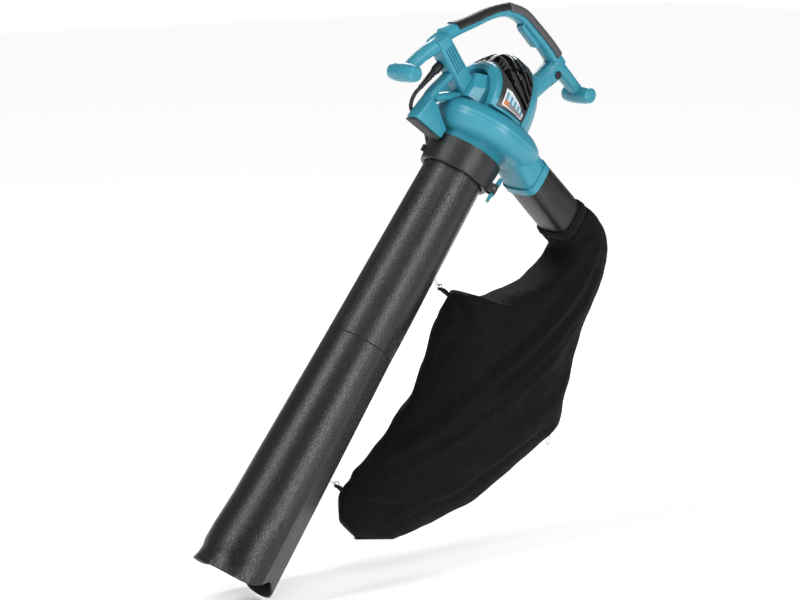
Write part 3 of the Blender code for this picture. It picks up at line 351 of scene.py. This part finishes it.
TEAL = (0.032, 0.25, 0.335)
GREY = (0.0085, 0.0087, 0.0091)
TUBE_GREY = (0.0070, 0.0072, 0.0076)
BLACK = (0.009, 0.009, 0.0095)
teal = plastic("teal_plastic", TEAL, 0.33, 1400.0, 0.00003, 0.05).mat
grey = speckled("grained_plastic", GREY, 0.33).mat
tube_grey = tube_look("tube_plastic", TUBE_GREY, 0.28).mat
black = plastic("black_plastic", BLACK, 0.36, 1100.0, 0.00006, 0.2).mat
charcoal = plastic("vent_plastic", (0.034, 0.034, 0.035), 0.32, 1000.0, 0.00006, 0.2).mat
slot_shade_look = slot_shadow().mat
rubber = plastic("soft_rubber", (0.010, 0.010, 0.011), 0.55, 700.0, 0.0001, 0.2).mat
steel = metal("plated_steel", (0.72, 0.72, 0.73), 0.16).mat
dull_steel = metal("dull_steel", (0.5, 0.5, 0.5), 0.34).mat
copper = metal("wound_copper", (0.62, 0.27, 0.12), 0.32).mat
carbon = plastic("brush_carbon", (0.03, 0.03, 0.032), 0.7, 500.0, 0.0002, 0.2).mat
cloth = woven("bag_cloth", (0.0026, 0.0026, 0.0028), 0.0009, 0.012).mat
tape = woven("zip_tape", (0.0060, 0.0060, 0.0063), 0.0007, 0.03).mat
elastic = woven("cuff_elastic", (0.0045, 0.0045, 0.0048), 0.0012, 0.04).mat
webbing = woven("tab_webbing", (0.0050, 0.0050, 0.0053), 0.0013, 0.04).mat

LOOKS = {
    "housing_near": teal, "housing_far": teal, "fan_housing_lower": teal, "fan_housing_upper": teal,
    "latch_lever": teal, "trigger": teal, "vent_cover": charcoal, "rating_label": label_look().mat,
    "grip_front": ribbed_grip().mat, "grip_rear": rear_grip().mat, "speed_dial": black,
    "fan_impeller": black, "fan_nut": dull_steel, "motor_armature": copper, "motor_stator": dull_steel,
    "bearing_lower": steel, "bearing_upper": steel, "motor_plate_lower": dull_steel,
    "motor_bridge_upper": black, "brush_a": carbon, "brush_b": carbon, "intake_guard": black,
    "intake_collar": grey, "latch_pin": dull_steel, "suction_tube_upper": tube_grey,
    "suction_tube_nozzle": tube_grey, "outlet_adapter": grey, "bag_zip": tape, "zip_slider": steel,
    "zip_pull": steel, "bag_hook_1": steel, "bag_hook_2": steel, "bag_ring_1": steel, "bag_ring_2": steel,
    "foot_pad": foot_rubber().mat, "cable_gland": rubber, "strain_relief": rubber, "mains_plug": rubber,
    "housing_screw_1": dull_steel, "housing_screw_2": dull_steel, "housing_screw_3": dull_steel,
    "housing_screw_4": dull_steel,
}

# ------------------------------------------------------------------ moulded pieces
# visible moulded pieces: sharp-edge angle in degrees and edge rounding in metres
MOULDED = {
    "suction_tube_upper": (16.0, 0.0011), "suction_tube_nozzle": (16.0, 0.0011),
    "intake_collar": (28.0, 0.0006),
    "housing_near": (32.0, 0.0006), "housing_far": (32.0, 0.0006), "fan_housing_lower": (30.0, 0.0005),
    "fan_housing_upper": (30.0, 0.0005), "vent_cover": (32.0, 0.0004), "grip_front": (40.0, 0.0004),
    "grip_rear": (40.0, 0.0004), "outlet_adapter": (30.0, 0.0005), "trigger": (32.0, 0.0004),
    "latch_lever": (32.0, 0.0004), "foot_pad": (32.0, 0.0004), "mains_plug": (32.0, 0.0004),
    "speed_dial": (32.0, 0.0003), "cable_gland": (32.0, 0.0003), "strain_relief": (40.0, 0.0),
    "bag_hook_1": (60.0, 0.0), "bag_hook_2": (60.0, 0.0), "bag_ring_1": (60.0, 0.0),
    "bag_ring_2": (60.0, 0.0),
    "zip_pull": (60.0, 0.0), "zip_slider": (32.0, 0.0003), "rating_label": (32.0, 0.0),
}
MERGE_DISTANCE = 0.00001
FLAT_ANGLE = math.radians(0.6)
SLOT_CORNER = math.radians(35.0)
LEAST_BEVEL_ANGLE = 30.0


def concave(edge):
    return len(edge.link_faces) == 2 and not edge.is_convex and edge.calc_face_angle() > SLOT_CORNER


def moulded(name, angle, rounding):
    """A node's own shape with smooth curved faces and small rounded edges, standing for the node."""
    bm = bmesh.new()
    bm.from_mesh(NODES[name].data)
    bmesh.ops.remove_doubles(bm, verts=bm.verts, dist=MERGE_DISTANCE)
    bmesh.ops.dissolve_limit(bm, angle_limit=FLAT_ANGLE, verts=bm.verts, edges=bm.edges)
    # painted shade: on the vent cover, faces beside the concave slot edges take a second, near-black material
    # that stands for the shade inside the slots
    if name == "vent_cover":
        for face in bm.faces:
            face.material_index = int(any(concave(edge) for edge in face.edges))
    fresh = bpy.data.meshes.new(name + "_shell")
    bm.to_mesh(fresh)
    bm.free()
    fresh.shade_smooth()
    fresh.set_sharp_from_angle(angle=math.radians(angle))
    fresh.materials.append(LOOKS[name])
    if name == "vent_cover":
        fresh.materials.append(slot_shade_look)
    piece = placed(name + "_shell", fresh)
    if rounding > 0.0:
        bevel = piece.modifiers.new("rounding", "BEVEL")
        bevel.width = rounding
        bevel.segments = 2
        bevel.limit_method = "ANGLE"
        bevel.angle_limit = math.radians(max(angle, LEAST_BEVEL_ANGLE))
        bevel.harden_normals = True
    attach(piece, BODY_OF[name])
    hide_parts(name)


for name, look in LOOKS.items():
    NODES[name].material_slots[0].material = look
for name, (angle, rounding) in MOULDED.items():
    moulded(name, angle, rounding)


# ------------------------------------------------------------------ power cord
def between(a, b, c, d, t):
    """Point at share t from b to c on the smooth curve through four neighbours."""
    return 0.5 * (2.0 * b + (c - a) * t + (2.0 * a - 5.0 * b + 4.0 * c - d) * t * t
                  + (3.0 * b - a - 3.0 * c + d) * t ** 3)


def smooth_path(points, steps):
    pts = [Vector(p) for p in points]
    pts = [pts[0] * 2.0 - pts[1]] + pts + [pts[-1] * 2.0 - pts[-2]]
    path = [between(*pts[i - 1:i + 3], k / steps) for i in range(1, len(pts) - 2) for k in range(steps)]
    path.append(pts[-2])
    return path


LEAD_DIAMETER = 0.0068
GLAND_CENTRE = Vector((-130.0, 8.0, 132.0))
GLAND_AXIS = Vector((-7.0, 6.0, -44.0)).normalized()
RELIEF_END = 47.6
CORD_START = GLAND_CENTRE + GLAND_AXIS * RELIEF_END
CORD_ROUTE = [tuple(CORD_START), tuple(CORD_START + GLAND_AXIS * 6.0), tuple(CORD_START + GLAND_AXIS * 12.0),
              (-137.0, 18.5, 62.0), (-130.0, 21.5, 51.5), (-117.0, 24.5, 47.0), (-98.0, 30.0, 48.0),
              (-76.0, 42.0, 50.0), (-54.0, 58.0, 48.0), (-32.0, 71.0, 41.0), (-10.0, 80.0, 27.0),
              (6.0, 85.0, 6.0), (20.0, 87.0, -17.0), (32.0, 87.0, -40.0)]
cord_points = [world(p) for p in smooth_path(CORD_ROUTE, 3)]
curve = bpy.data.curves.new("lead", "CURVE")
curve.dimensions = "3D"
curve.bevel_depth = LEAD_DIAMETER / 2.0
curve.bevel_resolution = 4
curve.use_fill_caps = True
spline = curve.splines.new("POLY")
spline.points.add(len(cord_points) - 1)
for point, co in zip(spline.points, cord_points):
    point.co = (*co, 1.0)
curve.materials.append(rubber)
lead = placed("lead", curve)
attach(lead, "machine")
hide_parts("power_cord")

# ------------------------------------------------------------------ collection bag
# rings from the cuff to the tip, in mm: inner edge x, z; outer edge x, z; middle y; half width; squareness
BAG_STATIONS = [
    (230.5, 11.0, 231.5, 86.5, -43.0, 44.6, 4.2),
    (246.0, 8.0, 247.5, 87.0, -43.0, 45.5, 4.0),
    (254.0, -2.0, 272.0, 85.0, -43.0, 47.0, 3.6),
    (250.0, -32.0, 308.0, 71.0, -42.0, 49.0, 3.0),
    (230.0, -72.0, 340.0, 40.0, -39.0, 53.0, 2.7),
    (200.0, -110.0, 360.0, -10.0, -35.0, 57.0, 2.5),
    (160.0, -148.0, 374.0, -68.0, -30.0, 59.0, 2.4),
    (106.0, -166.0, 394.0, -122.0, -24.0, 60.0, 2.3),
    (104.0, -202.0, 422.0, -186.0, -20.0, 60.0, 2.2),
    (115.0, -246.0, 451.0, -246.0, -16.0, 58.0, 2.2),
    (132.0, -300.0, 434.0, -302.0, -13.0, 54.0, 2.2),
    (142.0, -368.0, 404.0, -374.0, -10.0, 49.0, 2.2),
    (135.0, -448.0, 364.0, -448.0, -8.0, 42.0, 2.2),
    (119.0, -512.0, 310.0, -516.0, -7.0, 34.0, 2.2),
    (111.0, -562.0, 252.0, -577.0, -6.0, 25.0, 2.2),
    (134.0, -598.0, 182.0, -611.0, -5.0, 11.0, 2.2),
]
BAG_AROUND = 110
BAG_BETWEEN = 9

# creases on the near side: points x, z; height of the ridge; half width; all in mm
FOLDS = [
    ([(289.0, 40.0), (290.0, -50.0), (277.0, -130.0), (233.0, -291.0), (184.0, -393.0), (118.0, -515.0)],
     8.5, 11.0),
    ([(321.0, 10.0), (325.0, -70.0), (314.0, -140.0), (280.0, -236.0), (235.0, -339.0), (142.0, -478.0)],
     7.0, 10.0),
    ([(340.0, -30.0), (338.0, -120.0), (324.0, -186.0), (286.0, -290.0), (228.0, -400.0), (130.0, -540.0)],
     5.0, 11.0),
    ([(275.0, 50.0), (237.0, -10.0), (205.0, -62.0), (170.0, -120.0), (120.0, -164.0)], 6.0, 8.0),
    ([(226.0, -20.0), (215.0, -60.0), (196.0, -95.0)], 5.0, 5.5),
    ([(252.0, 0.0), (238.0, -45.0), (216.0, -84.0)], -4.5, 5.5),
    ([(100.0, -172.0), (122.0, -176.0), (158.0, -190.0)], 8.0, 7.0),
    ([(98.0, -182.0), (118.0, -197.0), (150.0, -226.0)], -7.0, 8.0),
    ([(106.0, -200.0), (116.0, -276.0), (134.0, -360.0)], 4.5, 7.0),
    ([(128.0, -210.0), (134.0, -290.0), (150.0, -370.0)], -4.0, 7.0),
    ([(110.0, -545.0), (122.0, -470.0), (150.0, -385.0)], 5.0, 8.0),
    ([(112.0, -560.0), (150.0, -540.0), (215.0, -510.0)], 4.0, 8.0),
    ([(431.0, -235.0), (372.0, -335.0), (312.0, -452.0), (225.0, -552.0)], -3.0, 7.0),
    ([(240.0, -110.0), (215.0, -200.0), (180.0, -300.0)], 3.0, 16.0),
    ([(400.0, -150.0), (392.0, -230.0), (350.0, -330.0)], 3.0, 16.0),
]
VALLEY_SHARE = 0.6
VALLEY_OFFSET = 1.8
FAR_SIDE_SHIFT = 24.0
FAR_SIDE_SHARE = 0.7
CUFF_END = 236.0
CUFF_FADE = 25.0


def crease(px, pz, line, height, width):
    """Ridge with a valley beside it, fading out at both ends of its line."""
    best = None
    total = sum(math.dist(a, b) for a, b in zip(line, line[1:]))
    done = 0.0
    for (ax, az), (bx, bz) in zip(line, line[1:]):
        dx = bx - ax
        dz = bz - az
        length = math.hypot(dx, dz)
        t = min(max(((px - ax) * dx + (pz - az) * dz) / length ** 2, 0.0), 1.0)
        gap = math.hypot(px - ax - dx * t, pz - az - dz * t)
        if best is None or gap < abs(best[0]):
            side = math.copysign(1.0, (px - ax) * dz - (pz - az) * dx)
            best = (gap * side, (done + length * t) / total)
        done += length
    off, along = best
    fade = math.sin(math.pi * along) ** 0.5
    spread = width * (0.75 + 0.5 * along)
    valley = VALLEY_SHARE * math.exp(-((off - VALLEY_OFFSET * spread) / spread) ** 2)
    return height * fade * (math.exp(-(off / spread) ** 2) - valley)


def fold(px, pz, near):
    """Lift of the cloth in mm: the near side follows the list, the far side a shifted share of it."""
    shift = 0.0 if near else FAR_SIDE_SHIFT
    share = 1.0 if near else FAR_SIDE_SHARE
    lift = share * sum(crease(px + shift, pz - shift, *entry) for entry in FOLDS)
    ripple = noise.noise(Vector((px, pz, 40.0 if near else 90.0)) * 0.021) * 3.4
    ripple += noise.noise(Vector((px * 1.6, pz, 7.0)) * 0.055) * 1.1
    return lift + ripple


def squared(value, power):
    """A sine or cosine pushed outwards, which turns a circle into a rounded rectangle."""
    return math.copysign(abs(value) ** power, value)


def skin(shape, rows):
    """Faces between neighbouring rings of points."""
    count = len(rows[0])
    for lower, upper in zip(rows, rows[1:]):
        for i in range(count):
            j = (i + 1) % count
            shape.faces.new((lower[i], lower[j], upper[j], upper[i]))


def smooth_stations():
    """The bag's rings with BAG_BETWEEN steps from one station to the next."""
    pts = [list(row) for row in BAG_STATIONS]
    before = [2.0 * a - b for a, b in zip(pts[0], pts[1])]
    after = [2.0 * a - b for a, b in zip(pts[-1], pts[-2])]
    pts = [before] + pts + [after]
    rows = []
    for i in range(1, len(pts) - 2):
        for k in range(BAG_BETWEEN):
            rows.append([between(a, b, c, d, k / BAG_BETWEEN) for a, b, c, d in zip(*pts[i - 1:i + 3])])
    rows.append(list(pts[-2]))
    return rows


def bag_mesh():
    """Smooth bag in machine-frame mm, open at the cuff and closed at the tip."""
    shape = bmesh.new()
    grid = []
    for ax, az, bx, bz, side_y, half, square in smooth_stations():
        ring = []
        for i in range(BAG_AROUND):
            angle = 2.0 * math.pi * i / BAG_AROUND
            u = half * squared(math.cos(angle), 2.0 / square)
            v = squared(math.sin(angle), 2.0 / square)
            px = (ax + bx) / 2.0 + (bx - ax) / 2.0 * v
            pz = (az + bz) / 2.0 + (bz - az) / 2.0 * v
            ring.append(shape.verts.new((px, side_y + u, pz)))
        grid.append(ring)
    skin(shape, grid)
    shape.faces.new(grid[-1])
    bmesh.ops.recalc_face_normals(shape, faces=shape.faces)
    return shape


bm = bag_mesh()
bm.normal_update()
for vert in bm.verts:
    x, y, z = vert.co
    calm = min(max((x - CUFF_END) / CUFF_FADE, 0.0), 1.0) if z > 0.0 else 1.0
    flank = min(abs(vert.normal.y) * 1.5, 1.0)
    vert.co += vert.normal * (fold(x, z, vert.normal.y < 0.0) * calm * flank)
for vert in bm.verts:
    vert.co = world(vert.co)
bag_data = bpy.data.meshes.new("bag")
bm.to_mesh(bag_data)
bm.free()
bag_data.materials.append(cloth)
bag_data.shade_smooth()
bag = placed("bag", bag_data)
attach(bag, "machine")
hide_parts("collection_bag", "bag_neck")


# ------------------------------------------------------------------ trim of the bag
def trim(name, mesh_maker, look, replaces=()):
    """One sewn or moulded detail built by mesh_maker in machine-frame millimetres."""
    shape = bmesh.new()
    mesh_maker(shape)
    for corner in shape.verts:
        corner.co = world(corner.co)
    bmesh.ops.recalc_face_normals(shape, faces=shape.faces)
    data = bpy.data.meshes.new(name)
    shape.to_mesh(data)
    shape.free()
    data.shade_smooth()
    data.set_sharp_from_angle(angle=math.radians(40.0))
    data.materials.append(look)
    piece = placed(name, data)
    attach(piece, "machine")
    for node in replaces:
        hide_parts(node)


# webbing tabs: name; centre x, z of the ring; sewn point x, z on the bag; its y
RING_TABS = [
    ("hook_tab_1", (89.0, -172.0), (122.0, -178.0), -14.0),
    ("hook_tab_2", (96.0, -553.0), (128.0, -560.0), -5.0),
]
TAB_HALF_WIDTH = 7.5
TAB_TURN = 2.6
TAB_LAYER_GAP = 0.2
TAB_HALF_THICK = 1.4


def tab_maker(ring_centre, bag_point, side_y):
    """Webbing loop folded round a ring, with both ends sewn to the bag."""
    start = Vector(ring_centre)
    end = Vector(bag_point)
    along = (end - start).normalized()
    across = Vector((-along.y, along.x))
    reach = (end - start).length

    def make(shape):
        turn = []
        for k in range(13):
            angle = math.pi * (0.5 + k / 12.0)
            turn.append((math.cos(angle) * TAB_TURN + 2.0 * TAB_TURN, math.sin(angle) * TAB_TURN))
        outline = [(reach, TAB_HALF_THICK)] + turn + [(reach, -TAB_HALF_THICK), (reach, -TAB_LAYER_GAP)]
        outline += [(u * 0.8 + 1.1, v * 0.55) for u, v in turn[::-1]] + [(reach, TAB_LAYER_GAP)]
        rows = []
        for share in (-1.0, -0.9, 0.9, 1.0):
            tuck = 0.12 if abs(share) == 1.0 else 0.0
            row = []
            for u, v in outline:
                at = start + along * u + across * v * (1.0 - tuck)
                row.append(shape.verts.new((at.x, side_y * u / reach + share * TAB_HALF_WIDTH, at.y)))
            rows.append(row)
        skin(shape, rows)
        shape.faces.new(rows[0][::-1])
        shape.faces.new(rows[-1])
    return make


for name, ring_centre, bag_point, side_y in RING_TABS:
    trim(name, tab_maker(ring_centre, bag_point, side_y), webbing)

ZIP_LINE = [(x, z, side_y) for _, _, x, z, side_y, _, _ in BAG_STATIONS[9:]]
TOOTH_PITCH = 3.0
TOOTH_LIFT = 3.1
TOOTH_SIDE = 0.9
TOOTH_SIZE = (1.6, 2.4, 1.2, 1.0)


def zip_teeth(shape):
    """Two rows of small teeth along the outside of the zip tape."""
    for (x0, z0, y0), (x1, z1, y1) in zip(ZIP_LINE, ZIP_LINE[1:]):
        run = Vector((x1 - x0, z1 - z0))
        steps = int(run.length / TOOTH_PITCH)
        out = Vector((-run.y, run.x)).normalized()
        if out.dot(Vector((1.0, -1.0))) < 0.0:
            out = -out
        turn = Matrix.Rotation(-math.atan2(run.y, run.x), 4, "Y")
        for k in range(steps):
            share = (k + 0.5) / steps
            at = Vector((x0, z0)) + run * share + out * TOOTH_LIFT
            side = TOOTH_SIDE if k % 2 else -TOOTH_SIDE
            place = Matrix.Translation((at.x, y0 + (y1 - y0) * share + side, at.y))
            bmesh.ops.create_cube(shape, size=1.0, matrix=place @ turn @ Matrix.Diagonal(TOOTH_SIZE))


trim("zip_teeth", zip_teeth, black)

# elastic cuff: x of each ring and how far it stands off the duct, in mm
CUFF_PROFILE = [(211.5, 2.2), (211.0, 4.2), (212.5, 5.6), (214.5, 4.6), (217.0, 5.6), (220.0, 6.4),
                (223.5, 5.8), (225.5, 4.8), (227.5, 5.4), (229.8, 5.4)]
CUFF_AROUND = 160
CUFF_GATHERS = 44.0
CUFF_HALF_WIDTH = 39.0
CUFF_HALF_HEIGHT = 31.3
CUFF_START = 212.0
CUFF_START_Z = 50.9
CUFF_END_Z = 50.0
CUFF_SLOPE = 0.1375


def gathered_cuff(shape):
    """Elastic channel round the adapter: two hems with gathers between them."""
    outer = []
    for x, grow in CUFF_PROFILE:
        gather = 0.7 if 214.0 < x < 226.0 else 0.2
        centre_z = CUFF_START_Z - (x - CUFF_START) * CUFF_SLOPE
        ring = []
        for i in range(CUFF_AROUND):
            angle = 2.0 * math.pi * i / CUFF_AROUND
            size = grow + gather * math.sin(CUFF_GATHERS * angle + 0.35 * x)
            u = (CUFF_HALF_WIDTH + size) * squared(math.cos(angle), 0.5)
            v = (CUFF_HALF_HEIGHT + size) * squared(math.sin(angle), 0.5)
            ring.append(Vector((x, DUCT_Y + u, centre_z + v)))
        outer.append(ring)
    inner = [pulled_in(outer[-1], 0.93, CUFF_END_Z), pulled_in(outer[0], 0.995, CUFF_START_Z)]
    rows = [[shape.verts.new(p) for p in ring] for ring in outer + inner]
    skin(shape, rows + [rows[0]])


def pulled_in(ring, share, centre_z):
    """The same ring drawn in towards the middle of the duct."""
    return [Vector((p.x, DUCT_Y + (p.y - DUCT_Y) * share, centre_z + (p.z - centre_z) * share)) for p in ring]


trim("gathered_cuff", gathered_cuff, elastic, ("bag_cuff",))

# ------------------------------------------------------------------ stage
FLOOR_DROP = 0.004
FLOOR_HALF_SIZE = 12.0
floor_mesh = bpy.data.meshes.new("studio_floor")
bm = bmesh.new()
bmesh.ops.create_grid(bm, x_segments=1, y_segments=1, size=FLOOR_HALF_SIZE)
bm.to_mesh(floor_mesh)
bm.free()
floor = placed("studio_floor", floor_mesh)
floor.location = (0.0, 0.0, cad_low.z - FLOOR_DROP)


def floor_look():
    """Pale floor that glows towards its far edges, where the lamps don't reach."""
    m = Nodes("studio_white", (0.93, 0.93, 0.93), 0.8)
    m.shader.inputs["Emission Color"].default_value = (1.0, 1.0, 1.0, 1.0)
    span = m.tree.nodes.new("ShaderNodeVectorMath")
    span.operation = "LENGTH"
    m.link(m.coord.outputs["Object"], span.inputs[0])
    m.link(m.remap(span.outputs["Value"], 1.2, 3.0, 0.30, 0.78), m.shader.inputs["Emission Strength"])
    return m


floor_mesh.materials.append(floor_look().mat)

# the world lights the object softly, and shows the camera a brighter plain backdrop
ROOM_LIGHT = 0.19
BACKDROP = 1.0
studio = bpy.data.worlds.new("studio")
studio.use_nodes = True
world_tree = studio.node_tree
sky = world_tree.nodes["Background"]
plain = world_tree.nodes.new("ShaderNodeBackground")
for background, strength in ((sky, ROOM_LIGHT), (plain, BACKDROP)):
    background.inputs["Color"].default_value = (1.0, 1.0, 1.0, 1.0)
    background.inputs["Strength"].default_value = strength
rays = world_tree.nodes.new("ShaderNodeLightPath")
choose = world_tree.nodes.new("ShaderNodeMixShader")
world_tree.links.new(rays.outputs["Is Camera Ray"], choose.inputs[0])
world_tree.links.new(sky.outputs[0], choose.inputs[1])
world_tree.links.new(plain.outputs[0], choose.inputs[2])
world_tree.links.new(choose.outputs[0], world_tree.nodes["World Output"].inputs["Surface"])
bpy.context.scene.world = studio

# ------------------------------------------------------------------ lights
# name, direction, distance in m, width and length in m, power in W
SOFTBOXES = [
    ("left_strip", (-0.72, 0.03, 0.69), 2.4, (0.34, 2.6), 36.0),
    ("right_strip", (0.0, -0.97, 0.25), 2.4, (0.36, 2.6), 39.0),
    ("top_panel", (-0.25, -0.45, 0.85), 2.6, (1.0, 1.0), 11.0),
    ("rear_panel", (0.6, 0.65, 0.45), 2.6, (1.2, 1.2), 30.0),
]
OBJECT_MIDDLE = (cad_low + cad_high) / 2.0


def softbox(name, direction, distance, size, power):
    """Rectangular light facing the object, its long side level with the suction tube."""
    lamp = bpy.data.lights.new(name, "AREA")
    lamp.shape = "RECTANGLE"
    lamp.size = size[0]
    lamp.size_y = size[1]
    lamp.energy = power
    tube_axis = Vector(AXIS_Z)
    away = Vector(direction).normalized()
    rise = (tube_axis - away * tube_axis.dot(away)).normalized()
    turn = Matrix((rise.cross(away), rise, away)).transposed()
    placed(name, lamp).matrix_world = Matrix.Translation(OBJECT_MIDDLE + away * distance) @ turn.to_4x4()


for entry in SOFTBOXES:
    softbox(*entry)

# ------------------------------------------------------------------ camera
AZIMUTH = math.radians(-37.0)
ELEVATION = math.radians(11.0)
CAMERA_DISTANCE = 3.74
AIM_RIGHT = 0.09078
AIM_UP = 0.21335
LENS = 99.0
back = Vector((math.sin(AZIMUTH) * math.cos(ELEVATION), -math.cos(AZIMUTH) * math.cos(ELEVATION),
               math.sin(ELEVATION)))
right = Vector((math.cos(AZIMUTH), math.sin(AZIMUTH), 0.0))
up = back.cross(right)
camera_data = bpy.data.cameras.new("camera")
camera_data.sensor_width = 36.0
camera_data.lens = LENS
camera_data.clip_end = 60.0
camera = placed("camera", camera_data)
camera.location = world((0.0, 0.0, 0.0)) + back * CAMERA_DISTANCE - right * AIM_RIGHT - up * AIM_UP
camera.rotation_mode = "QUATERNION"
camera.rotation_quaternion = (-back).to_track_quat("-Z", "Y")
bpy.context.scene.camera = camera
bpy.context.scene.view_settings.view_transform = "Standard"
